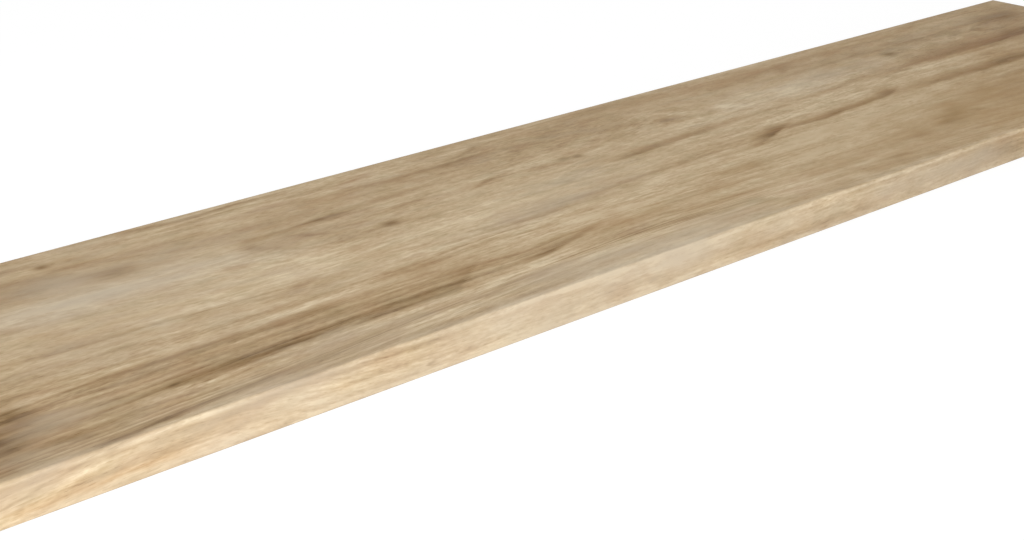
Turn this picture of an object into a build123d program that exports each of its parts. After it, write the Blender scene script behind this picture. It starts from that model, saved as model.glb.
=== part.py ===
"""Solid oak stair tread: one long, square-edged board with eased arrises.

X runs along the tread, across the flight of stairs. Y runs from the front edge,
which the foot meets first, to the back edge, which meets the riser. Z points up.
The origin is at the centre of the underside.
"""

import os

from build123d import *

# The planed board, in millimetres.
tread_length = 1500.0
tread_depth = 300.0
tread_thickness = 28.0

# The four long arrises, each eased with its own cutter, in millimetres.
top_front_radius = 1.5
bottom_front_radius = 1.0
top_back_radius = 1.2
bottom_back_radius = 0.8

# The sawn ends have their arrises broken with a small bevel, in millimetres.
end_bevel = 0.5

# Where the outline of the section lies.
front_edge = -tread_depth / 2
back_edge = tread_depth / 2
near_end = -tread_length / 2

# The section is drawn looking along the tread, front edge on the left, and is run
# the whole length of the board as a moulder does.
with BuildPart() as tread_board:
    with BuildSketch(Plane.YZ.offset(near_end)) as section:
        with BuildLine() as outline:
            FilletPolyline(
                (front_edge, 0),
                (back_edge, 0),
                (back_edge, tread_thickness),
                (front_edge, tread_thickness),
                radius=[
                    bottom_front_radius,
                    bottom_back_radius,
                    top_back_radius,
                    top_front_radius,
                ],
                close=True,
            )
        make_face()
    extrude(amount=tread_length)

    sawn_ends = tread_board.faces().filter_by(Axis.X)
    chamfer(sawn_ends.edges(), length=end_bevel)

tread_board.part.label = "tread_board"

os.makedirs("parts", exist_ok=True)
export_step(tread_board.part, "parts/tread_board.step")
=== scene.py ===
"""The looks of the oak stair tread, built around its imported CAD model.

X runs along the tread, Y from its front edge to its back edge, and Z up, with the origin at the
centre of the underside. Blender's own lengths are metres. The places of marks in the wood are
given in millimetres, as a joiner would measure them on the board.
"""

import math

import bpy
import numpy as np
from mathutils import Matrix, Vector


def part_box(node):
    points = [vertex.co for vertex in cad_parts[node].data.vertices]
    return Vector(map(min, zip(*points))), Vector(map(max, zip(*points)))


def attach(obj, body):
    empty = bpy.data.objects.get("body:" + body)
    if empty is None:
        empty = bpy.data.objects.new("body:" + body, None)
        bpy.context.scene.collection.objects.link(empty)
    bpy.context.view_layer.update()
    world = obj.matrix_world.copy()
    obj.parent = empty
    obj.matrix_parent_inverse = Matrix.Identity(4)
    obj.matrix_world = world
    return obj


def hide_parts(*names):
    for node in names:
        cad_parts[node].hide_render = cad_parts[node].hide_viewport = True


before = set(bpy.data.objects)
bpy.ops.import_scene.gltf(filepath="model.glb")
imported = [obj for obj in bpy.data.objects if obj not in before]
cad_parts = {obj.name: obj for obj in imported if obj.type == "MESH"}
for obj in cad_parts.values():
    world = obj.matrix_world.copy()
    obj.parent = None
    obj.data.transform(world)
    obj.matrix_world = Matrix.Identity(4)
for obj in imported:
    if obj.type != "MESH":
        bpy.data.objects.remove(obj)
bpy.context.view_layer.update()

board_low, board_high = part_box("tread_board")

# One millimetre in Blender's metres, and a node's first three outputs.
MM = 0.001
THREE = slice(0, 3)

# The board's own sizes, in millimetres, read from the frame.
length = (board_high.x - board_low.x) / MM
depth = (board_high.y - board_low.y) / MM
thickness = (board_high.z - board_low.z) / MM
front, back = -depth / 2, depth / 2
top = thickness

# The eased arrises, in millimetres, in the order in which the section runs round.
bottom_front_radius = 1.0
bottom_back_radius = 0.8
top_back_radius = 1.2
top_front_radius = 1.5
end_bevel = 0.5

# The mesh's spacing along the board and round its section, in millimetres, and the number of
# steps round each arris.
station_step = 6.0
section_step = 4.0
arc_steps = 6

# The camera stands off the front edge, near the left end, and looks down along the board. Its
# place and target are in metres, its lens and sensor in millimetres.
camera_place = (-0.9794, -0.9652, 0.4887)
camera_target = (-0.2039, -0.1018, 0.0280)
camera_lens = 62.88
camera_sensor = 36.0

# One square soft box stands off the near front corner, with its sizes in metres and its power in
# watts. The white surround lights the board evenly, and is whiter where it is seen itself.
key_place = (-1.5, -1.5, 0.68)
key_target = (-0.3, -0.1, 0.0)
key_size = 1.1
key_power = 35
surround_light = 0.58
surround_seen = 1.0

# The white floor, in metres: half its side, and its height, just under the board. The camera sees
# it glow by this share, and the rest of it keeps the board's shadow.
floor_half = 12.0
floor_height = -0.0003
floor_glow = 1.1
floor_glow_share = 0.8

# The pith of the tree lay this far above the board's top, and over this line of the board, in
# millimetres.
pith_height = 170.0
pith_line = 58.0

# How wide one year's growth is, and how far it wanders along the board, in millimetres.
ring_width = 6.5
ring_wander = 26.0

# The parts of a year in which its dark latewood comes on slowly and then stops short.
autumn = (0.15, 0.85)
winter = (0.85, 1.0)

# The rings part round the pale lens of the near end: its place, half length and half width, and
# how far they are pushed out from the pith, in millimetres.
LENS = (-455, 52, 130, 34, 5.0)

# The blotches of each noise, in millimetres: how long they are, and how far they reach out from
# the pith and round it.
wander_blotch = (240, 60, 60)
ring_blotch = (200, 8.5, 150)
shown_years = (210, 13, 200)

# And how long, wide and deep they are along the fibres or on the board. Oak's pores are too fine to
# show in the render, so they are drawn wider.
pore = (9, 0.8, 0.8)
edge_line = (70, 1.9, 1.9)
slid_fibre = (60, 2.2, 2.2)
waver = (26, 9, 9)
ray = (400, 0.9, 24.0)
saw_mark = (5, 1.3, 40)
red_blotch = (30, 14, 14)
grey_blotch = (44, 12, 20)

# Where a noise turns into the marks it draws: the values at which they begin and are full.
shown_years_edge = (0.42, 0.66)
pore_edge = (0.60, 0.72)
ray_edge = (0.56, 0.68)

# The grain from the broadest streaks to the finest: how long and how wide each is, how far it
# moves the tone, and whether it fades where the wood is calm.
GRAIN = (
    (260, 45, 0.22, False),
    (30, 12, 0.36, False),
    (28, 4.0, 0.40, True),
    (6, 1.9, 0.36, True),
)

# How far the rings, their latewood and the open pores move the tone, round the wood's mean tone.
mean_tone = 0.67
ring_weight = 0.66
latewood_weight = 0.22
pore_weight = 0.16

# The front edge is cut across the rings: long thin lines show there, this plain and this rough.
edge_line_weight = 0.62
edge_line_roughness = 0.6

# How far a streak takes to end on its side away from the pith, in millimetres.
streak_edge = 2.4

# How far the fibres of a mark slide along one another, which frays its ends: the fibres of a mark
# whose half length is less than this, and those of a longer one. Sideways they waver much less.
short_mark = 34
slides = (18, 50)
sideways = 8

# How many times as long as it is wide a knot is.
knot_stretch = 1.5

# How far the noises of hue make the wood redder and greyer.
red_blotch_weight = 1.4
grey_blotch_weight = 0.9

# How far a dark mark's strands and threads differ in darkness.
strand_bundle = 1.6
thread_bundle = 0.8

# How deep what shows on a face reaches into the wood, in millimetres.
top_reach = 20
knot_reach = 60
lens_reach = 60
bend_reach = 90
front_reach = 7
front_bend_reach = 9
arris_reach = 4

# How many marks one node group holds.
group_size = 24

# The painted highlight along the front arris, where its rounding catches the light: how far below
# the top, half height, and how much darker, redder and greyer. The pale line has a brown one under
# it.
ARRIS = (
    (2.0, 1.4, -0.22, 0.05, 0.15),
    (5.2, 1.9, 0.09, 0.10, 0.00),
)

# The relief left by sanding, in millimetres: threads and strands stand up, pores lie open.
thread_relief = 0.04
strand_relief = 0.05
pore_relief = 0.05

# The open pores and the softer strands are duller than the hard wood between them.
wood_roughness = 0.62
strand_roughness = 0.30
pore_roughness = 0.12

# On the sawn ends the fibres stand open: the wood is darker and duller there, its rings and pores
# are plainer, pale rays run out from the pith, and the saw leaves marks, with their relief in
# millimetres.
end_tone = -0.16
end_roughness = 0.14
end_ring_weight = 0.19
end_pore_weight = 0.16
ray_weight = 0.15
saw_mark_relief = 0.06

# The wood's colour at each tone, from its darkest latewood to its palest growth.
TONES = (
    (0.00, "664b2c"), (0.22, "8c704b"), (0.42, "a88d68"), (0.60, "bda37e"), (0.85, "d6c09d"),
    (1.00, "e6d3b1"),
)

# How the wood is tinted where it is redder or greener, and greyer or clearer: how strongly, and
# with which colour.
TINTS = (
    ("red", 0.6, "a87c58"), ("red", -0.6, "96885f"), ("grey", 0.7, "bfb09b"),
    ("grey", -0.7, "a98655"),
)


def add(tree, kind, inputs=None, out=0, **settings):
    """Adds a node with its settings, its values and its links, and gives back its output.

    A slice gives back several outputs, and an output node, which has none, gives back nothing.
    """
    node = tree.nodes.new("ShaderNode" + kind)
    for name, value in settings.items():
        setattr(node, name, value)
    for name, value in (inputs or {}).items():
        if isinstance(value, bpy.types.NodeSocket):
            tree.links.new(value, node.inputs[name])
        else:
            node.inputs[name].default_value = value
    return node.outputs[out] if node.outputs else None


def linear(code):
    """The linear colour, with alpha, of an sRGB hex code such as "b49d7e"."""
    channels = [int(code[i:i + 2], 16) / 255 for i in (0, 2, 4)]
    return [c / 12.92 if c <= 0.04045 else ((c + 0.055) / 1.055) ** 2.4 for c in channels] + [1.0]


# The streaks that show on the top. Each runs with the fibres and ends sharply on its side away
# from the pith, where a year's growth stopped: its place along and across the board, its half
# length and half width, its turn in degrees, and how much darker, redder and greyer it makes the
# wood. Below nought is paler, greener or clearer.
STREAKS = (
    (-240, 122, 24, 4, 2, 0.14, 0.45, 0.00),      # reddish dashes near the back edge
    (-172, 127, 20, 4, 8, 0.18, 0.45, 0.00),
    (-95, 110, 55, 7, 1, 0.20, 0.05, 0.00),
    (-62, 110, 22, 5, 0, 0.14, 0.00, 0.00),
    (-47, 126, 12, 4, 25, 0.16, 0.10, 0.00),
    (-388, 97, 45, 3, -16, 0.14, 0.15, 0.00),
    (-262, 71, 46, 6, 3, 0.26, 0.05, 0.00),       # upper side of the arch
    (-238, 72, 20, 4, 0, 0.18, 0.00, 0.00),
    (-165, 79, 70, 5, 3, 0.16, 0.00, 0.00),
    (-60, 75, 70, 6, -1, 0.04, 0.00, 0.00),
    (-298, 38, 26, 5, -37, 0.15, 0.00, 0.00),     # lower side of the arch
    (-258, 21, 26, 4, -8, 0.12, 0.00, 0.00),
    (-180, 23, 24, 4, 0, 0.20, 0.00, 0.00),
    (-268, 49, 12, 4, -35, 0.22, 0.10, 0.00),     # dashes inside the arch
    (-173, 55, 20, 3, 3, 0.22, 0.20, 0.00),
    (-92, 54, 20, 3, 14, 0.26, 0.00, 0.00),
    (80, 26, 62, 9, 2, 0.30, 0.12, 0.00),         # long streak that widens to the far end
    (50, 25, 28, 4, 0, 0.12, 0.00, 0.00),
    (190, 33, 80, 7, 3, 0.17, 0.10, 0.00),
    (330, 39, 70, 6, 3, 0.14, 0.05, 0.00),
    (455, 42, 60, 12, 4, 0.15, 0.30, 0.00),
    (590, 41, 100, 20, 1, 0.28, 0.45, 0.00),
    (650, 43, 60, 20, 1, 0.16, 0.10, 0.00),
    (480, 41, 60, 5, 3, 0.12, 0.10, 0.00),
    (48, 64, 26, 3, 12, 0.18, 0.00, 0.00),        # lines that sweep up to the eye
    (104, 80, 38, 3, 44, 0.20, 0.00, 0.00),
    (178, -15, 33, 10, 20, 0.58, 0.14, 0.00),     # brown flame below the middle
    (203, -12, 22, 7, 0, 0.22, 0.20, 0.00),
    (290, -12, 66, 10, 3, 0.50, 0.16, 0.00),
    (262, -15, 26, 5, 0, 0.20, 0.00, 0.00),
    (357, -3, 17, 10, 15, 0.42, 0.15, 0.00),
    (420, -11, 60, 11, 1, 0.30, 0.10, 0.00),
    (515, -14, 70, 16, 0, 0.36, 0.10, 0.00),
    (560, -12, 36, 14, 0, 0.32, 0.05, 0.00),
    (-440, -105, 110, 19, 3, 0.23, 0.00, -0.15),  # broad brown band of the near end
    (-442, -109, 50, 5, 4, 0.18, 0.00, -0.10),
    (-385, -103, 30, 5, 6, 0.13, 0.00, -0.10),
    (-345, -97, 60, 9, 0, -0.10, 0.00, 0.00),
    (-290, -106, 42, 20, -2, 0.15, -0.25, -0.10),
    (-285, -106, 42, 6, 0, 0.13, -0.10, 0.00),
    (-236, -90, 30, 13, 38, 0.22, 0.00, 0.00),
    (-481, -107, 5, 3, 0, 0.26, 0.05, 0.00),
    (-468, -70, 60, 6, 0, 0.18, 0.15, 0.00),      # fine stripes above it
    (-470, -83, 55, 4, 0, 0.18, 0.10, 0.00),
    (-362, -71, 42, 6, 0, 0.20, 0.12, 0.00),
    (-540, -62, 32, 4, -8, 0.18, 0.10, 0.00),
    (-340, -87, 50, 8, 0, 0.10, 0.00, 0.00),
    (-330, -29, 24, 5, 28, 0.12, 0.30, 0.10),
    (-152, -91, 32, 5, 12, 0.36, 0.00, 0.00),     # two short dark dashes
    (-160, -92, 16, 4, 8, 0.12, 0.00, 0.00),
    (-104, -78, 17, 5, 16, 0.32, 0.08, 0.00),
    (-112, -84, 26, 7, 8, 0.14, 0.05, 0.00),
    (-500, -142, 62, 4, 5, 0.40, 0.00, -0.10),    # thin dark line that leaves the front edge
    (-560, -129, 50, 3, 3, 0.18, 0.00, 0.00),
    (-415, -137, 40, 5, 5, 0.19, 0.00, 0.00),
    (-355, -130, 30, 5, 10, 0.18, 0.00, 0.00),
    (-300, -124, 42, 5, 3, 0.16, 0.00, 0.00),
    (-200, -120, 65, 5, 4, 0.20, 0.00, 0.10),
    (-110, -110, 46, 5, 2, 0.18, 0.00, 0.00),
    (-30, -114, 44, 6, -5, 0.18, 0.00, 0.10),
    (32, -78, 14, 4, 0, 0.18, 0.00, 0.00),
    (140, -91, 60, 4, 0, 0.14, -0.05, 0.00),
    (118, -113, 18, 5, 0, 0.18, 0.10, 0.00),
    (273, -78, 9, 4, 0, 0.18, 0.00, 0.00),
    (665, -12, 75, 12, 0, 0.28, 0.05, 0.00),      # streaks that run on to the sawn ends
    (730, 46, 60, 13, 0, 0.18, 0.10, 0.00),
    (-705, -112, 62, 15, 0, 0.30, 0.00, 0.00),
    (-705, -70, 60, 6, 0, 0.14, 0.10, 0.00),
)

# The soft patches of the top, given in the same way. Those that can be told apart come first.
PATCHES = (
    (-414, 80, 20, 11, 0, 0.36, 0.12, -0.10),     # brown smudge above the lens
    (-450, 84, 16, 12, 0, 0.06, 0.00, 0.35),      # grey smudge beside it
    (-445, 46, 115, 18, 0, -0.21, 0.08, 0.58),    # pale grey lens
    (-448, 54, 44, 4, 0, -0.16, 0.00, 0.20),      # pale line through the lens
    (-430, 76, 85, 20, 0, -0.02, 0.00, 0.30),
    (-375, 36, 40, 4, -4, -0.12, 0.10, 0.00),
    (-312, 27, 34, 6, -38, -0.16, 0.00, 0.00),
    (-314, 58, 12, 8, 60, 0.24, 0.00, 0.00),      # crown of the arch
    (-255, 50, 50, 16, 0, 0.08, 0.06, 0.00),      # inside the arch
    (-200, 107, 130, 9, 0, 0.07, 0.12, 0.00),
    (-260, 91, 80, 9, 0, 0.10, 0.05, 0.00),
    (-425, 118, 60, 9, 0, 0.18, 0.00, 0.00),
    (-480, 93, 28, 15, 0, 0.28, 0.00, 0.10),
    (-510, 12, 30, 8, 0, 0.08, 0.00, 0.00),
    (-545, -79, 30, 8, 0, -0.12, 0.02, 0.00),
    (-545, -112, 50, 26, 0, 0.10, 0.00, 0.00),
    (-574, -94, 22, 12, 0, 0.18, 0.00, 0.00),
    (-615, -140, 26, 14, 0, 0.28, 0.00, 0.00),
    (-460, -96, 28, 7, 0, 0.10, 0.00, 0.00),
    (548, -4, 24, 9, 0, 0.12, 0.00, 0.00),
    (655, 50, 30, 14, 0, 0.12, 0.00, 0.00),
    (160, 29, 24, 6, 2, 0.10, 0.00, 0.00),
    (-400, -124, 42, 12, 2, 0.12, 0.00, 0.00),
    (-430, -70, 90, 7, 0, 0.10, 0.00, 0.00),
    (-300, 78, 45, 14, 0, 0.10, 0.00, 0.00),
    (-150, 92, 110, 5, 1, 0.05, 0.10, 0.00),
    (-310, -3, 95, 28, 0, -0.24, 0.00, -0.05),    # cream field
    (-500, -14, 26, 7, 0, 0.10, 0.10, 0.25),
    (-437, -16, 8, 8, 0, -0.14, 0.00, 0.30),
    (-368, -7, 14, 7, 0, 0.05, -0.30, -0.20),
    (-40, 15, 45, 12, 0, -0.04, -0.20, 0.40),     # grey band in the middle
    (-95, -22, 80, 14, 2, 0.01, 0.05, 0.55),
    (0, -2, 40, 16, 0, 0.00, 0.00, 0.25),
    (-130, -6, 110, 48, 0, -0.09, 0.00, 0.00),
    (-175, 46, 24, 14, 0, -0.10, 0.00, 0.00),
    (-30, 70, 60, 10, 0, -0.08, 0.00, 0.00),
    (85, -28, 12, 6, 30, -0.10, 0.10, 0.40),
    (335, 68, 125, 20, 2, -0.10, 0.02, 0.50),     # pale grey band of the far half
    (212, 66, 20, 6, -35, -0.26, 0.00, 0.15),
    (162, 82, 12, 5, -25, -0.22, 0.00, 0.15),
    (184, 63, 12, 6, 20, 0.14, -0.35, 0.00),
    (108, -60, 42, 8, 3, 0.18, -0.30, 0.00),      # olive patches by the front edge
    (340, -88, 32, 13, 28, 0.22, -0.40, -0.10),
    (390, -115, 38, 18, 0, 0.02, 0.05, -0.20),
    (155, -126, 18, 8, -25, 0.16, 0.00, 0.00),
    (215, -125, 12, 5, 0, 0.14, 0.00, 0.00),
    (235, -143, 10, 5, 0, 0.14, 0.00, 0.00),
    (212, -103, 42, 8, 0, 0.09, 0.00, 0.00),
    (90, -121, 28, 12, 0, -0.02, 0.40, 0.10),
    (32, -120, 14, 8, 0, 0.00, -0.35, 0.15),
    (420, -62, 45, 14, 0, 0.08, -0.10, -0.20),
    (450, -74, 40, 14, 20, 0.10, 0.00, 0.00),
    (90, -140, 60, 8, 0, 0.15, 0.00, 0.00),
    (130, 138, 60, 8, 0, 0.18, 0.00, 0.00),
    (20, -70, 330, 48, 0, 0.00, 0.00, -0.18),
    (-190, -124, 60, 12, 3, 0.00, 0.00, 0.35),
    (-590, -130, 30, 14, 0, 0.00, 0.05, 0.30),
    (-260, -5, 25, 16, 0, 0.00, -0.05, -0.25),
    (290, -96, 42, 14, 0, 0.16, 0.00, 0.00),
    (-75, -80, 75, 14, 0, 0.00, 0.00, -0.30),
    (380, -122, 50, 28, 0, -0.06, 0.10, -0.45),
    (560, 28, 60, 24, 0, 0.00, 0.15, -0.35),
    (-430, -138, 90, 10, 0, 0.00, 0.00, 0.35),
    (-250, -58, 24, 9, 5, 0.16, 0.25, -0.10),
    (-78, -80, 16, 10, 0, 0.06, 0.45, -0.15),
    (-80, -134, 120, 15, 2, -0.06, 0.00, 0.60),   # grey band outside the thin line
    (-602, -110, 24, 22, 10, 0.46, 0.00, 0.00),   # dark corner of the near end
    (-574, -76, 12, 12, 0, 0.30, 0.00, 0.00),
    (-556, -99, 28, 15, 0, 0.10, 0.10, 0.55),
    (470, 80, 8, 8, 30, 0.14, -0.30, 0.00),       # green spot
    (700, 100, 85, 24, 0, 0.21, 0.10, 0.05),      # far corner
    (322, -92, 12, 5, 20, 0.22, -0.30, 0.00),
    (348, -82, 13, 5, 28, 0.22, -0.30, 0.00),
    (374, -92, 11, 4, -28, 0.18, -0.20, 0.00),
    (262, -101, 18, 4, -10, 0.15, -0.05, 0.00),
    (84, -29, 22, 7, 0, 0.10, 0.00, 0.00),
    (110, 128, 80, 12, 0, 0.09, 0.05, 0.00),
    (300, 122, 130, 12, 0, 0.09, 0.30, -0.10),
    (340, 112, 16, 7, 25, 0.12, 0.10, 0.00),
    (600, 110, 160, 20, 0, 0.04, -0.05, 0.10),
    (690, 118, 50, 26, 0, 0.18, 0.00, 0.00),
    (150, 92, 34, 10, 0, -0.08, 0.00, 0.00),
    (-450, 25, 190, 110, 0, 0.00, 0.06, 0.16),    # the near end is pinker and greyer
    (480, -60, 330, 90, 0, 0.00, -0.06, -0.58),   # the far end is warmer
    (290, 5, 230, 70, 0, -0.09, 0.00, 0.00),      # and paler between its streaks
    (-720, 46, 90, 14, 0, -0.10, 0.05, 0.35),     # the lens's grey runs on to the near end
    # Paler ones, from the near end to the far one.
    (-515, -61, 45, 9, -6, -0.11, 0.00, 0.00),
    (-500, 54, 34, 10, 0, -0.10, 0.00, 0.00),
    (-472, -114, 16, 6, 0, -0.14, 0.00, 0.00),
    (-470, -77, 50, 2, 0, -0.14, 0.00, 0.00),
    (-460, 50, 60, 10, 0, -0.10, 0.00, 0.10),
    (-460, -46, 60, 6, 0, -0.10, 0.00, 0.00),
    (-440, -114, 90, 4, 2, -0.12, 0.05, 0.00),
    (-430, -148, 30, 5, 0, -0.14, 0.00, 0.00),
    (-420, -122, 60, 4, 5, -0.08, 0.10, 0.00),
    (-405, -77, 34, 7, 0, -0.08, 0.00, 0.00),
    (-400, 0, 30, 20, 0, -0.07, 0.00, 0.00),
    (-400, -15, 42, 6, 0, -0.12, 0.00, 0.00),
    (-330, -118, 90, 14, 6, -0.08, 0.05, 0.18),
    (-320, -55, 60, 4, 7, -0.18, 0.08, 0.00),
    (-282, 24, 22, 6, -20, -0.10, 0.00, 0.00),
    (-280, -135, 45, 11, 0, -0.18, 0.00, 0.00),
    (-280, 29, 20, 7, -30, -0.07, 0.00, 0.00),
    (-240, 60, 24, 9, 0, -0.10, 0.00, 0.00),
    (-235, -34, 40, 20, 0, -0.10, 0.00, 0.00),
    (-220, 136, 110, 9, 1, -0.08, 0.00, 0.00),
    (-220, 124, 120, 6, 0, -0.08, 0.00, 0.00),
    (-190, -107, 80, 6, 7, -0.20, 0.05, 0.00),
    (-170, 122, 40, 12, 0, -0.07, 0.00, 0.00),
    (-170, 0, 26, 28, 0, -0.08, 0.00, 0.00),
    (-160, -42, 60, 14, 0, -0.08, 0.00, 0.00),
    (-140, -113, 60, 8, 3, -0.18, 0.00, 0.00),
    (-130, -60, 26, 9, 0, -0.13, 0.00, 0.00),
    (-112, 121, 28, 10, 0, -0.10, 0.00, 0.00),
    (-78, -76, 24, 7, 0, -0.12, 0.00, 0.00),
    (-72, -75, 26, 6, 0, -0.13, 0.00, 0.00),
    (-70, -62, 120, 13, 2, -0.20, 0.00, 0.00),
    (-60, -66, 90, 9, -2, -0.12, 0.00, 0.00),
    (-50, 61, 60, 6, 0, -0.10, 0.00, 0.00),
    (-50, 122, 40, 16, 0, -0.07, 0.00, 0.00),
    (-45, -70, 60, 9, 0, -0.11, 0.00, 0.00),
    (-42, 92, 20, 22, 0, -0.07, 0.00, 0.00),
    (0, -15, 260, 75, 0, -0.04, 0.00, 0.00),
    (8, -50, 56, 13, 0, -0.11, 0.00, 0.00),
    (20, 90, 24, 9, 0, -0.10, 0.00, 0.00),
    (22, 124, 36, 8, 0, -0.12, 0.00, 0.00),
    (50, -93, 60, 8, 0, -0.10, 0.00, 0.00),
    (50, -91, 66, 8, 0, -0.11, 0.00, 0.00),
    (60, -30, 20, 12, 0, -0.08, 0.00, 0.00),
    (75, -131, 56, 9, 0, -0.13, 0.00, 0.00),
    (85, -116, 50, 12, 0, -0.20, 0.00, 0.00),
    (140, -74, 70, 11, 2, -0.13, 0.00, 0.00),
    (140, -76, 60, 10, 0, -0.08, 0.00, 0.00),
    (148, -128, 22, 10, 0, -0.12, 0.00, 0.00),
    (150, 52, 24, 8, 0, -0.10, 0.00, 0.00),
    (152, 50, 26, 9, 0, -0.09, 0.00, 0.00),
    (155, -54, 80, 26, 2, -0.08, 0.00, 0.00),
    (155, -66, 50, 9, 0, -0.08, 0.00, 0.00),
    (160, 14, 50, 7, 2, -0.08, 0.00, 0.00),
    (180, -84, 60, 9, 0, -0.10, 0.00, 0.00),
    (205, -112, 34, 9, 0, -0.10, 0.00, 0.00),
    (215, -37, 60, 8, 1, -0.18, 0.00, 0.00),
    (240, -38, 180, 15, 1, -0.10, 0.00, 0.00),
    (245, 4, 26, 12, 0, -0.10, 0.00, 0.00),
    (250, 132, 34, 9, 0, -0.10, 0.00, 0.00),
    (250, 78, 10, 22, 0, -0.09, 0.00, 0.00),
    (260, 6, 60, 7, 0, -0.10, 0.00, 0.00),
    (270, -70, 170, 52, 0, -0.10, 0.00, 0.00),
    (275, -48, 66, 13, 0, -0.13, 0.00, 0.00),
    (280, 12, 60, 8, 1, -0.10, 0.00, 0.00),
    (320, 62, 70, 9, 0, -0.08, 0.00, 0.00),
    (330, -28, 90, 7, 0, -0.10, 0.00, 0.00),
    (350, 22, 150, 12, 1, -0.10, 0.00, 0.00),
    (362, 60, 34, 9, 0, -0.06, 0.00, 0.00),
    (370, -128, 40, 14, 0, -0.08, 0.00, 0.00),
    (385, -115, 30, 14, 0, -0.12, 0.00, 0.00),
    (408, 6, 30, 10, 0, -0.12, 0.00, -0.15),
    (430, -30, 110, 6, 1, -0.12, 0.05, 0.00),
    (440, 33, 60, 7, 1, -0.10, 0.00, 0.00),
    (470, 16, 90, 14, 0, -0.08, 0.00, -0.10),
    (470, 24, 80, 9, 1, -0.12, 0.02, 0.00),
    (505, 38, 60, 6, 0, -0.10, 0.00, 0.00),
    (510, 10, 110, 5, 0, -0.14, 0.00, 0.00),
    (525, 80, 45, 8, 0, -0.12, 0.00, 0.00),
    (568, 76, 14, 11, 0, -0.13, 0.00, 0.00),
    (625, 96, 44, 9, 0, -0.11, 0.00, 0.00),
    # Darker ones, from the near end to the far one.
    (-470, -71, 60, 9, 0, 0.09, 0.00, 0.00),
    (-450, -27, 70, 6, 0, 0.09, 0.00, 0.00),
    (-380, -76, 50, 10, 0, 0.09, 0.00, 0.00),
    (-305, -33, 30, 8, 0, 0.10, 0.00, 0.00),
    (-300, 46, 24, 12, 0, 0.10, 0.00, 0.00),
    (-300, -120, 26, 8, 0, 0.10, 0.00, 0.00),
    (-100, 30, 56, 14, 0, 0.07, 0.00, 0.00),
    (-75, -42, 18, 8, 0, 0.08, 0.00, 0.00),
    (-60, 126, 16, 8, 0, 0.10, 0.00, 0.00),
    (-30, 143, 40, 6, 0, 0.13, 0.00, 0.00),
    (40, -122, 12, 11, 0, 0.14, 0.00, 0.00),
    (84, 88, 26, 7, 0, 0.12, 0.00, 0.00),
    (85, -27, 24, 7, 0, 0.10, 0.00, 0.00),
    (198, 84, 12, 9, 0, 0.12, 0.00, 0.00),
    (200, -135, 14, 12, 0, 0.12, 0.00, 0.00),
    (300, 98, 100, 8, 0, 0.07, 0.00, 0.00),
    (400, 80, 40, 12, 0, 0.10, 0.00, 0.00),
    (476, 64, 12, 11, 0, 0.10, 0.00, 0.00),
    (480, -60, 20, 12, 0, 0.10, 0.00, 0.00),
    (490, 106, 70, 6, 0, 0.16, 0.00, 0.00),
    (560, 138, 120, 7, 0, 0.09, 0.05, -0.15),
    (596, 92, 14, 10, 0, 0.10, 0.00, 0.00),
    (620, 31, 14, 13, 0, 0.10, 0.00, 0.00),
    (695, 88, 28, 22, 0, 0.05, 0.05, -0.10),
    # And those of another hue alone, from the near end to the far one.
    (-390, 80, 100, 24, 0, 0.00, 0.00, 0.08),
    (-375, -110, 60, 20, 0, 0.00, 0.00, 0.20),
    (-260, -75, 60, 20, 0, 0.00, 0.12, -0.20),
    (-258, -8, 24, 18, 0, 0.00, 0.12, -0.15),
    (-80, -62, 50, 10, 0, 0.00, 0.15, -0.20),
    (78, -62, 22, 10, 0, 0.00, 0.12, -0.20),
    (250, -70, 220, 80, 0, 0.00, -0.02, -0.20),
    (400, 130, 220, 12, 0, 0.00, 0.10, -0.20),
)


# Where the fibres sweep aside: place, half length and half width, and how far they are pushed
# towards the back edge.
BENDS = (
    (-60, -135, 340, 62, 34),        # the rings leave the front edge and run inward
    (-540, 75, 130, 60, 18),         # they come down past the lens
    (-300, 15, 90, 24, -8),          # and open round the arch
    (-60, -84, 95, 22, 9),
    (140, 98, 62, 24, 12),           # over and under the eye
    (165, 50, 60, 16, -6),
    (330, -85, 60, 26, 9),
    (620, 60, 200, 60, 8),
)

# Where they rise on the front edge, given in the same way with heights.
FRONT_BENDS = (
    (-330, 14, 230, 60, 40),
    (60, 14, 240, 60, 34),
)

# Where the wood is calm: place, half length and half width, and how much of its figure, the rings
# and the fine grain, is lost.
CALM = (
    (-330, -8, 150, 34, 0.62),
    (-430, 72, 110, 40, 0.50),
    (-45, -10, 120, 30, 0.55),
    (-80, -136, 120, 14, 0.45),
    (330, 100, 170, 42, 0.50),
    (470, 24, 100, 12, 0.40),
    (200, -115, 190, 32, 0.70),
    (330, -60, 150, 26, 0.50),
    (-430, -85, 170, 50, -0.35),     # and the other way round: the rings are plainest here
)

# Small knots: place, radius, and how much darker, redder and greyer each is.
KNOTS = (
    (-446, 122, 4.0, 0.46, 0.05, 0.00),
    (-208, 29, 5.0, 0.42, -0.05, 0.00),
    (-5, 56, 4.0, 0.28, -0.35, 0.10),
    (8, 53, 4.5, 0.42, -0.15, 0.05),
    (138, 74, 6.0, 0.28, -0.10, 0.05),
    (470, 84, 6.0, 0.22, -0.10, 0.00),
)

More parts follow.
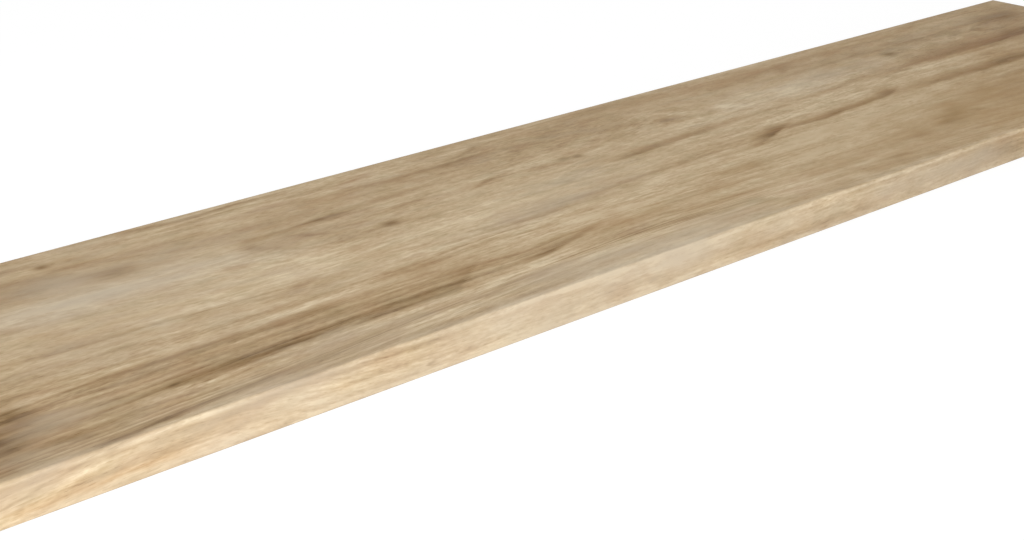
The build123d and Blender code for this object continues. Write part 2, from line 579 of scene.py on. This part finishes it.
# The marks that show on the front edge: place along the board and height, half length and half
# height, turn, and how much darker, redder and greyer.
FRONT_MARKS = (
    # The front's paleness is partly the wood's own and partly painted light, for the lamp that lights
    # the front more than the top.
    (-250, 14, 560, 26, 0, -0.13, -0.05, 0.70),   # the edge is paler and greyer than the top
    (-500, 15, 72, 6.0, 8, 0.17, 0.12, -0.12),    # broad tan bands that rise to the far end
    (-460, 21, 60, 4.0, 5, 0.10, 0.00, 0.00),
    (-440, 25, 62, 5.0, 3, 0.19, 0.00, 0.10),
    (-385, 13, 50, 2.0, 3, 0.14, 0.10, 0.00),
    (-600, 16, 36, 1.4, 13, 0.28, 0.00, 0.00),
    # Paler ones, from the near end to the far one.
    (-615, 12, 20, 4, 10, -0.16, 0.00, 0.00),
    (-590, 10, 50, 3.5, 12, -0.04, -0.10, -0.35),
    (-560, 20, 50, 3.0, 8, -0.12, 0.00, 0.00),
    (-475, 4, 20, 6, 0, -0.12, 0.00, 0.00),
    (-450, 2, 40, 4, 0, -0.12, 0.00, 0.00),
    (-412, 3, 12, 5, 0, -0.16, 0.00, 0.00),
    (-388, 9, 18, 6, 0, -0.11, 0.00, 0.00),
    (-250, 7, 16, 6, 0, -0.15, 0.00, 0.00),
    (-246, 8, 14, 6, 0, -0.10, 0.00, 0.00),
    (-200, 9, 20, 5, 0, -0.08, 0.00, 0.00),
    (-115, 22, 18, 5, 0, -0.10, 0.00, 0.00),
    (-100, 21, 70, 7, 0, -0.18, 0.00, 0.20),
    # Painted light: a paler, greyer band along the foot of the front face, for the light that the
    # white floor throws back up.
    (-100, 1, 560, 4, 0, -0.12, 0.00, 0.30),
    (52, 22, 18, 5, 0, -0.07, 0.00, 0.00),
    (60, 22, 20, 5, 0, -0.09, 0.00, 0.00),
    (90, 24, 24, 5, 0, -0.12, 0.00, 0.00),
    (105, 19, 14, 4, 0, -0.08, 0.00, 0.00),
    (230, 25, 50, 4, 0, -0.07, 0.00, 0.00),
    (330, 3, 50, 5, 0, -0.16, 0.00, 0.10),
    # Darker ones, from the near end to the far one.
    (-605, 22, 50, 4.5, 13, 0.05, 0.22, 0.25),
    (-580, 7, 50, 3.0, 0, 0.08, 0.10, -0.10),
    (-560, 8, 20, 5, 8, 0.13, 0.00, 0.00),
    (-540, 8, 60, 3.0, 0, 0.02, 0.35, -0.30),
    (-535, 27, 20, 3, 0, 0.10, 0.00, 0.00),
    (-512, 5, 36, 3, 0, 0.15, 0.00, 0.00),
    (-445, 12, 18, 8, 0, 0.17, 0.00, 0.00),
    (-420, 24, 34, 5, 0, 0.14, 0.00, 0.00),
    (-410, 27, 30, 3, 0, 0.13, 0.00, 0.00),
    (-385, 15, 20, 5, 0, 0.08, 0.05, -0.35),
    (-357, 4, 12, 4, 0, 0.15, 0.00, 0.00),
    (-345, 3, 60, 3.0, 0, 0.02, 0.05, 0.00),
    (-330, 21, 40, 6, 0, 0.08, 0.00, 0.00),
    (-315, 8, 3, 2.2, 0, 0.45, 0.00, 0.00),
    (-278, 4, 12, 4, 0, 0.11, 0.00, 0.00),
    (-260, 22, 80, 6, 0, 0.09, 0.00, 0.00),
    (-205, 19, 22, 5, 0, 0.14, 0.00, 0.00),
    (-150, 16, 14, 8.0, 0, 0.04, 0.15, 0.00),
    (-140, 13, 16, 6, 0, 0.11, 0.00, 0.00),
    (-120, 14, 110, 6, 0, 0.06, 0.00, 0.00),
    (-118, 14, 5, 3.0, 0, 0.14, 0.50, 0.00),
    (-110, 10, 6, 2.5, 0, 0.22, 0.00, 0.20),
    (-40, 13, 30, 5, 0, 0.10, 0.00, 0.00),
    (-30, 14, 90, 6.0, 3, 0.10, 0.10, 0.00),
    (0, 11, 24, 5, 0, 0.08, 0.00, 0.00),
    (25, 5, 40, 3, 0, 0.13, 0.00, 0.00),
    (60, 6, 90, 3.5, -2, 0.12, 0.10, 0.00),
    (70, 7, 62, 5, 0, 0.17, 0.02, -0.20),
    (100, 27, 16, 3, 0, 0.13, 0.00, 0.00),
    (110, 4, 24, 3, 0, 0.09, 0.00, 0.00),
    (135, 27, 16, 3, 0, 0.12, 0.00, 0.00),
    (160, 9, 12, 4.0, 0, 0.10, 0.45, 0.00),
    (238, 14, 20, 6, 0, 0.07, 0.00, 0.00),
    (270, 16, 70, 12, 0, 0.02, 0.00, 0.55),
    (290, 27, 30, 3, 0, 0.12, 0.00, 0.00),
    (328, 5, 16, 4, 0, 0.12, 0.00, 0.00),
    (330, 14, 50, 12, 0, 0.17, 0.12, 0.10),
    # And those of another hue alone, from the near end to the far one.
    (-520, 16, 40, 8, 0, 0.00, 0.00, -0.15),
    (-475, 22, 50, 5, 4, 0.00, 0.00, 0.25),
    (-325, 18, 50, 9, 0, 0.00, 0.05, -0.32),
    (170, 14, 120, 14, 0, 0.00, -0.10, 0.30),
)


def sunk(tree, height, level, reach):
    """The square of the depth under a face, in units of the reach of its marks."""
    below = add(tree, "Math", {0: height, 1: 1 / reach, 2: -level / reach}, operation="MULTIPLY_ADD")
    return add(tree, "Math", {0: below, 1: below}, operation="MULTIPLY")


def oval(tree, face, centre, reach, turn, sunken, crisp=0):
    """A soft oval on a face: e to the minus square of the distance from its centre, in reaches.

    Sunken is the square of the depth under the face, so the oval fades into the wood as well.
    With crisp above nought its front side falls off that many times faster, and below nought its
    back side. It is worked out in single numbers: Cycles has no room for this many vectors.
    """
    cos, sin = math.cos(math.radians(turn)), math.sin(math.radians(turn))
    square = sunken
    for axis, half, steep in zip(((cos, sin), (-sin, cos)), reach, (0, crisp)):
        part = -(axis[0] * centre[0] + axis[1] * centre[1]) / half
        for along, share in zip(face, axis):
            if share:
                part = add(tree, "Math", {0: along, 1: share / half, 2: part},
                           operation="MULTIPLY_ADD")
        if steep:
            steeper = add(tree, "Math", {0: part, 1: -abs(steep)}, operation="MULTIPLY")
            part = add(tree, "Math", {0: part, 1: steeper},
                       operation="MAXIMUM" if steep > 0 else "MINIMUM")
        square = add(tree, "Math", {0: part, 1: part, 2: square}, operation="MULTIPLY_ADD")
    return add(tree, "Math", {0: 1 / math.e, 1: square}, operation="POWER")


def laid(tree, spot, weight, rest):
    """The weight, as strong as the spot is there, added to the rest."""
    return add(tree, "Math", {0: spot, 1: weight, 2: rest}, operation="MULTIPLY_ADD")


def streaked(tree, place, grain, detail=2.0, roughness=0.5):
    """Noise drawn out by the three lengths in grain, in millimetres, one for each axis."""
    drawn = add(tree, "VectorMath", {0: place, 1: [1 / g for g in grain]}, operation="MULTIPLY")
    return add(tree, "TexNoise", {
        "Vector": drawn, "Scale": 1.0, "Detail": detail, "Roughness": roughness,
    }, "Fac")


def weighed(tree, value, weight, rest):
    """The value's distance from a half, times its weight, added to the rest."""
    part = add(tree, "Math", {0: value, 1: 0.5}, operation="SUBTRACT")
    return add(tree, "Math", {0: part, 1: weight, 2: rest}, operation="MULTIPLY_ADD")


def bent_fibres(tree, place):
    """The place measured along the fibres, which sweep aside at each bend."""
    along, across, up = add(tree, "SeparateXYZ", {0: place}, THREE)
    face, sunken = (along, across), sunk(tree, up, top, bend_reach)
    for x, y, half_length, half_width, push in BENDS:
        bend = oval(tree, face, (x, y), (half_length, half_width), 0, sunken)
        across = laid(tree, bend, -push, across)
    sunken = sunk(tree, across, front, front_bend_reach)
    for x, z, half_length, half_height, push in FRONT_BENDS:
        bend = oval(tree, (along, up), (x, z), (half_length, half_height), 0, sunken)
        up = laid(tree, bend, -push, up)
    return add(tree, "CombineXYZ", {0: along, 1: across, 2: up})


def growth_rings(tree, fibres):
    """The wood's own place: along the fibres, out from the pith through the rings, and round them."""
    from_pith = add(tree, "VectorMath", {
        0: fibres, 1: (0, -pith_line, -(top + pith_height)),
    }, operation="ADD")
    flat = add(tree, "VectorMath", {0: from_pith, 1: (0, 1, 1)}, operation="MULTIPLY")
    radius = add(tree, "VectorMath", {0: flat}, "Value", operation="LENGTH")
    wander = streaked(tree, fibres, wander_blotch)
    across = add(tree, "Math", {0: wander, 1: ring_wander, 2: radius}, operation="MULTIPLY_ADD")
    along, around, up = add(tree, "SeparateXYZ", {0: fibres}, THREE)
    x, y, half_length, half_width, push = LENS
    lens = oval(tree, (along, around), (x, y), (half_length, half_width), 0,
                sunk(tree, up, top, lens_reach))
    across = laid(tree, lens, push, across)
    return add(tree, "CombineXYZ", {0: along, 1: across, 2: around})


def eased(tree, value, low, high):
    """Nought below low, one above high, and a soft step between."""
    return add(tree, "MapRange", {0: value, 1: low, 2: high}, interpolation_type="SMOOTHSTEP")


def latewood(tree, growth):
    """The dark end of each year's growth: it deepens slowly outwards and stops short.

    It comes back twice: as every year has it, and as it shows along the board, where only some
    years do, as the weather was.
    """
    outward = add(tree, "SeparateXYZ", {0: growth}, 1)
    years = add(tree, "Math", {0: outward, 1: ring_width}, operation="DIVIDE")
    season = add(tree, "Math", {0: years}, operation="FRACT")
    darkening = eased(tree, season, *autumn)
    stopping = eased(tree, season, *winter)
    line = add(tree, "Math", {0: darkening, 1: stopping}, operation="SUBTRACT")
    shown = eased(tree, streaked(tree, growth, shown_years), *shown_years_edge)
    return line, add(tree, "Math", {0: line, 1: shown}, operation="MULTIPLY")


def rays(tree, fibres):
    """The pale lines that run straight out from the pith, and that only a cut across them shows."""
    along, across, up = add(tree, "SeparateXYZ", {0: fibres}, THREE)
    aside = add(tree, "Math", {0: across, 1: pith_line}, operation="SUBTRACT")
    below = add(tree, "Math", {0: top + pith_height, 1: up}, operation="SUBTRACT")
    angle = add(tree, "Math", {0: aside, 1: below}, operation="ARCTAN2")
    around = add(tree, "Math", {0: angle, 1: pith_height}, operation="MULTIPLY")
    drawn = streaked(tree, add(tree, "CombineXYZ", {0: along, 1: around, 2: below}), ray, 1)
    return eased(tree, drawn, *ray_edge)


def combed(tree, place, fibres):
    """The place with each fibre slid along its neighbours, once for each of the slides."""
    slid = add(tree, "Math", {0: streaked(tree, fibres, slid_fibre), 1: 0.5}, operation="SUBTRACT")
    aside = add(tree, "Math", {0: streaked(tree, place, waver), 1: 0.5}, operation="SUBTRACT")
    shift = add(tree, "CombineXYZ", {0: slid, 1: aside, 2: aside})
    moved = [add(tree, "VectorMath", {0: shift, 1: (slide, sideways, sideways), 2: place},
                 operation="MULTIPLY_ADD") for slide in slides]
    return [add(tree, "SeparateXYZ", {0: one}, THREE) for one in moved]


def marked(tree, name, table, near, far, sunken, totals, crisp=False):
    """Adds the marks of a table to the three totals.

    Blender slows down as a tree grows, so the marks go into small node groups.
    """
    for first in range(0, len(table), group_size):
        rows = table[first:first + group_size]
        totals = marked_group(tree, name, rows, near, far, sunken, totals, crisp)
    return totals


def marked_group(tree, name, rows, near, far, sunken, totals, crisp):
    """A node group that adds marks: the short ones on the near face, the long ones on the far one."""
    group = bpy.data.node_groups.new(name, "ShaderNodeTree")
    given = [*near, *far, sunken, *totals]
    for title in ("x near", "y near", "x far", "y far", "sunken", "dark", "red", "grey"):
        group.interface.new_socket(title, in_out="INPUT", socket_type="NodeSocketFloat")
    for title in ("dark", "red", "grey"):
        group.interface.new_socket(title, in_out="OUTPUT", socket_type="NodeSocketFloat")
    inside = group.nodes.new("NodeGroupInput").outputs
    near, far, sunken, totals = inside[0:2], inside[2:4], inside[4], list(inside[5:8])
    for x, y, half_length, half_width, turn, *weights in rows:
        face = near if half_length < short_mark else far
        steep = math.copysign(max(1, half_width / streak_edge), pith_line - y) if crisp else 0
        spot = oval(group, face, (x, y), (half_length, half_width), turn, sunken, steep)
        for part, weight in enumerate(weights):
            if weight:
                totals[part] = laid(group, spot, weight, totals[part])
    leaving = group.nodes.new("NodeGroupOutput").inputs
    for socket, total in zip(leaving, totals):
        group.links.new(total, socket)
    return add(tree, "Group", dict(enumerate(given)), THREE, node_tree=group)


def stains_and_painted_light(tree, place, fibres):
    """How much darker, redder and greyer the wood is over all its marks and its painted light."""
    near, far = combed(tree, place, fibres)
    along, across, up = add(tree, "SeparateXYZ", {0: place}, THREE)
    face, edge = (along, across), (along, up)
    sunken = sunk(tree, up, top, top_reach)
    totals = marked(tree, "streaks", STREAKS, near[:2], far[:2], sunken, [0.0] * 3, crisp=True)
    totals = marked(tree, "patches", PATCHES, near[:2], far[:2], sunken, totals)
    knots = [(x, y, radius * knot_stretch, radius, 0, *weights) for x, y, radius, *weights in KNOTS]
    totals = marked(tree, "knots", knots, face, face, sunk(tree, up, top, knot_reach), totals)
    frayed, sunken = (near[0], near[2]), sunk(tree, across, front, front_reach)
    totals = marked(tree, "front marks", FRONT_MARKS, frayed, frayed, sunken, totals)
    # The front arris gets a painted highlight, with a brown line under it.
    painted_arris_lines = [(0, top - below, length, half, 0, *weights) for below, half, *weights in ARRIS]
    sunken = sunk(tree, across, front, arris_reach)
    return marked(tree, "front arris", painted_arris_lines, edge, edge, sunken, totals)


def calmness(tree, place):
    """How much of the wood's figure is lost, added up over the calm areas."""
    along, across, up = add(tree, "SeparateXYZ", {0: place}, THREE)
    face, sunken = (along, across), sunk(tree, up, top, top_reach)
    total = 0.0
    for x, y, half_length, half_width, share in CALM:
        spot = oval(tree, face, (x, y), (half_length, half_width), 0, sunken)
        total = laid(tree, spot, share, total)
    return total


def end_grain(tree, fibres, every_ring, pores):
    """How the tone moves where the same wood is seen across its fibres, on the two sawn ends."""
    cut = add(tree, "Math", {0: every_ring, 1: -end_ring_weight, 2: end_tone},
              operation="MULTIPLY_ADD")
    cut = laid(tree, pores, -end_pore_weight, cut)
    return laid(tree, rays(tree, fibres), ray_weight, cut)


def wood_colour(tree, place, tone, red, grey):
    """The colour of each tone, tinted where the wood is redder, greener, greyer or clearer."""
    colour = add(tree, "ValToRGB", {0: tone})
    stops = colour.node.color_ramp.elements
    while len(stops) < len(TONES):
        stops.new(0.5)
    for stop, (at, code) in zip(stops, TONES):
        stop.position = at
        stop.color = linear(code)
    hues = {
        "red": weighed(tree, streaked(tree, place, red_blotch), red_blotch_weight, red),
        "grey": weighed(tree, streaked(tree, place, grey_blotch), grey_blotch_weight, grey),
    }
    for hue, strength, code in TINTS:
        share = add(tree, "Math", {0: hues[hue], 1: strength}, operation="MULTIPLY", use_clamp=True)
        # Sockets 6 and 7 are the two colours that the node mixes, and output 2 is what they give.
        colour = add(tree, "Mix", {0: share, 6: colour, 7: linear(code)}, 2, data_type="RGBA")
    return colour


def oak():
    """Plain-sawn oak, planed and sanded: warm straw, with brown rings and grey lenses."""
    material = bpy.data.materials.new("planed_oak")
    material.use_nodes = True
    tree = material.node_tree
    tree.nodes.clear()
    own = add(tree, "TexCoord", out="Object")
    place = add(tree, "VectorMath", {0: own, "Scale": 1 / MM}, operation="SCALE")
    along, across, up = add(tree, "SeparateXYZ", {0: place}, THREE)
    fibres = bent_fibres(tree, place)
    growth = growth_rings(tree, fibres)
    dark, red, grey = stains_and_painted_light(tree, place, fibres)
    drift, mottle, strands, threads = [streaked(tree, fibres, (long, wide, wide))
                                       for long, wide, weight, fades in GRAIN]
    pores = eased(tree, streaked(tree, fibres, pore, 1), *pore_edge)

    # The figure, which is the rings and the fine grain, is lost where the wood is calm.
    every_ring, ring_line = latewood(tree, growth)
    figure = weighed(tree, streaked(tree, growth, ring_blotch), ring_weight, 0.0)
    figure = laid(tree, ring_line, -latewood_weight, figure)
    tone = mean_tone
    for value, (long, wide, weight, fades) in zip((drift, mottle, strands, threads), GRAIN):
        if fades:
            figure = weighed(tree, value, weight, figure)
        else:
            tone = weighed(tree, value, weight, tone)
    lively = add(tree, "Math", {0: 1.0, 1: calmness(tree, place)}, operation="SUBTRACT")
    tone = laid(tree, figure, lively, tone)

    # The long thin lines of the front edge.
    edge = oval(tree, (along, up), (0, top / 2), (length, thickness), 0,
                sunk(tree, across, front, front_reach))
    lines = streaked(tree, fibres, edge_line, roughness=edge_line_roughness)
    tone = laid(tree, weighed(tree, lines, edge_line_weight, 0.0), edge, tone)

    # A dark mark is a bundle of darker fibres, with paler ones left between them.
    bundle = weighed(tree, strands, strand_bundle, 1.0)
    bundle = weighed(tree, threads, thread_bundle, bundle)
    dark = add(tree, "Math", {0: dark, 1: bundle}, operation="MULTIPLY")
    tone = add(tree, "Math", {0: tone, 1: dark}, operation="SUBTRACT")
    tone = laid(tree, pores, -pore_weight, tone)

    distance = add(tree, "Math", {0: along}, operation="ABSOLUTE")
    sawn = add(tree, "Math", {0: distance, 1: length / 2 - end_bevel}, operation="GREATER_THAN")
    tone = laid(tree, end_grain(tree, fibres, every_ring, pores), sawn, tone)
    colour = wood_colour(tree, place, tone, red, grey)

    rough = weighed(tree, strands, strand_roughness, wood_roughness)
    rough = laid(tree, pores, pore_roughness, rough)
    rough = laid(tree, sawn, end_roughness, rough)

    relief = weighed(tree, threads, thread_relief, 0.0)
    relief = weighed(tree, strands, strand_relief, relief)
    relief = laid(tree, pores, -pore_relief, relief)
    saw_marks = weighed(tree, streaked(tree, place, saw_mark, 1), saw_mark_relief, 0.0)
    relief = laid(tree, saw_marks, sawn, relief)
    raised = add(tree, "Bump", {"Height": relief, "Distance": MM, "Strength": 1.0})

    surface = add(tree, "BsdfPrincipled", {
        "Base Color": colour, "Roughness": rough, "Normal": raised,
        "IOR": 1.5, "Specular IOR Level": 0.15,
    })
    add(tree, "OutputMaterial", {0: surface})
    return material


def section(inset):
    """The board's outline across, drawn inset by so much, as points (y, z) in millimetres.

    Each corner is a quarter circle about its own centre, with its radius less the inset, and each
    face between two corners is divided evenly.
    """
    corners = (
        (front, 0, bottom_front_radius, 180, 270),
        (back, 0, bottom_back_radius, 270, 360),
        (back, top, top_back_radius, 0, 90),
        (front, top, top_front_radius, 90, 180),
    )
    arcs = []
    for y, z, radius, first, last in corners:
        centre_y = y + math.copysign(radius, -y)
        centre_z = radius if z == 0 else z - radius
        turn = np.radians(np.linspace(first, last, arc_steps + 1))
        reach = radius - inset
        arcs.append(np.stack([centre_y + reach * np.cos(turn), centre_z + reach * np.sin(turn)], 1))
    steps = [round(span / section_step) for span in (depth, thickness, depth, thickness)]
    pieces = []
    for arc, after, count in zip(arcs, arcs[1:] + arcs[:1], steps):
        share = np.linspace(0, 1, count + 1)[1:-1, None]
        pieces += [arc, arc[-1] * (1 - share) + after[0] * share]
    return np.concatenate(pieces)


def tread_board():
    """The section carried along X, drawn in by the bevel at both ends, and closed at each end."""
    shown = section(0.0)
    sawn = section(end_bevel)
    stations = np.linspace(-length / 2 + end_bevel, length / 2 - end_bevel,
                           round(length / station_step) + 1)
    stations = np.concatenate([[-length / 2], stations, [length / 2]])
    rings = np.repeat(shown[None], len(stations), 0)
    rings[[0, -1]] = sawn
    along = np.broadcast_to(stations[:, None, None], rings.shape[:2] + (1,))
    points = np.concatenate([along, rings], 2).reshape(-1, 3) * MM

    count = len(shown)
    index = np.arange(len(points)).reshape(len(stations), count)
    beside = np.roll(index, -1, 1)
    faces = np.stack([index[:-1], beside[:-1], beside[1:], index[1:]], -1).reshape(-1, 4)[:, ::-1]
    mesh = bpy.data.meshes.new("tread_board")
    mesh.from_pydata(points, [], faces.tolist() + [index[0].tolist(), index[-1][::-1].tolist()])
    mesh.shade_smooth()
    board = bpy.data.objects.new("oak_tread", mesh)
    bpy.context.scene.collection.objects.link(board)
    mesh.materials.append(oak())
    return board


def stage_floor():
    """A white floor that keeps the board's soft shadow."""
    mesh = bpy.data.meshes.new("floor")
    corners = [(-floor_half, -floor_half), (floor_half, -floor_half), (floor_half, floor_half),
               (-floor_half, floor_half)]
    mesh.from_pydata([(x, y, floor_height) for x, y in corners], [], [(0, 1, 2, 3)])
    floor = bpy.data.objects.new("floor", mesh)
    bpy.context.scene.collection.objects.link(floor)
    material = bpy.data.materials.new("white_paper_floor")
    material.use_nodes = True
    tree = material.node_tree
    tree.nodes.clear()
    lit = add(tree, "BsdfDiffuse", {"Color": linear("f2f2f2")})
    glow = add(tree, "Emission", {"Color": linear("ffffff"), "Strength": floor_glow})
    seen = add(tree, "LightPath", out="Is Camera Ray")
    share = add(tree, "Math", {0: seen, 1: floor_glow_share}, operation="MULTIPLY")
    add(tree, "OutputMaterial", {0: add(tree, "MixShader", {0: share, 1: lit, 2: glow})})
    mesh.materials.append(material)


def aim(item, place, target):
    """Puts a camera or a light at its place, and points it at its target."""
    item.location = place
    item.rotation_euler = (Vector(target) - Vector(place)).to_track_quat("-Z", "Y").to_euler()
    bpy.context.scene.collection.objects.link(item)


def studio():
    """One large soft box off the near front corner, and an even white surround."""
    data = bpy.data.lights.new("key", "AREA")
    data.shape = "SQUARE"
    data.size = key_size
    data.energy = key_power
    aim(bpy.data.objects.new("key", data), key_place, key_target)

    world = bpy.data.worlds.new("surround")
    bpy.context.scene.world = world
    world.use_nodes = True
    tree = world.node_tree
    tree.nodes.clear()
    rays_of = add(tree, "LightPath").node.outputs
    seen = add(tree, "Math", {0: rays_of["Is Camera Ray"], 1: rays_of["Is Glossy Ray"]},
               operation="MAXIMUM")
    seen = add(tree, "Math", {0: seen, 1: rays_of["Is Transmission Ray"]}, operation="MAXIMUM")
    strength = add(tree, "MapRange", {0: seen, "To Min": surround_light, "To Max": surround_seen})
    glow = add(tree, "Background", {"Color": linear("ffffff"), "Strength": strength})
    add(tree, "OutputWorld", {0: glow})


def camera():
    """The camera that sees the board as the photograph does."""
    data = bpy.data.cameras.new("camera")
    data.lens = camera_lens
    data.sensor_width = camera_sensor
    data.clip_start = 0.01
    data.clip_end = 100.0
    seen_from = bpy.data.objects.new("camera", data)
    aim(seen_from, camera_place, camera_target)
    bpy.context.scene.camera = seen_from


camera()
studio()
stage_floor()
board = tread_board()
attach(board, "root")
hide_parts("tread_board")
bpy.context.scene.view_settings.view_transform = "Standard"
